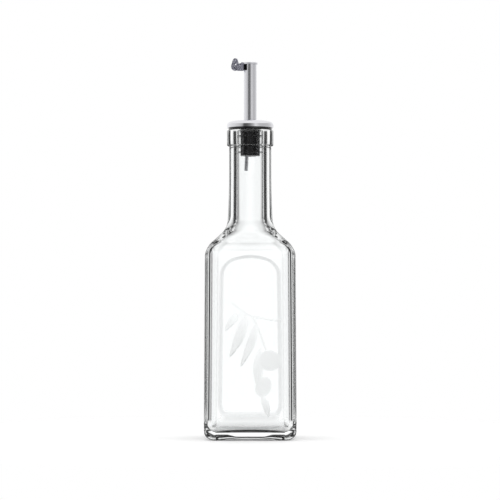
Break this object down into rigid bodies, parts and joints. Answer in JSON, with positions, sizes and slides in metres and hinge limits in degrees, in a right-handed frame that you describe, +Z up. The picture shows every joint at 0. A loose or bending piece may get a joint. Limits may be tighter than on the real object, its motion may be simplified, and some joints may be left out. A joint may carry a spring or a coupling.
{
  "type": "oil bottle",
  "caption": "Square clear glass oil bottle with a round neck, sunk arched panel, black finned stopper and steel spout with hinged flap.",
  "frame": {"origin": "middle of the base, on the plane the bottle stands on", "axes": "+Z up the bottle's axis; -Y out of the face with the sunk panel; -X towards the hinge of the flap"},
  "size_m": [0.063, 0.063, 0.2623],
  "materials": {
    "clear_glass": "clear, smooth pressed and blown",
    "black_plastic": "smooth moulded",
    "polished_steel": "polished",
    "drawn_steel": "drawn, lightly polished",
    "pressed_steel": "tumbled, slightly rough"
  },
  "bodies": {
    "body": {"bottle": "clear_glass", "stopper": "black_plastic", "pourer_cap": "polished_steel", "spout_tube": "drawn_steel", "vent_tube": "drawn_steel", "hinge_bracket": "pressed_steel", "hinge_pin": "drawn_steel"},
    "flap": {"flap": "pressed_steel"}
  },
  "joints": [
    {"name": "flap_hinge", "type": "hinge", "parent": "body", "child": "flap", "pos_m": [-0.0056, 0, 0.25845], "axis": [0, -1, 0], "range_deg": [0, 40]}
  ]
}
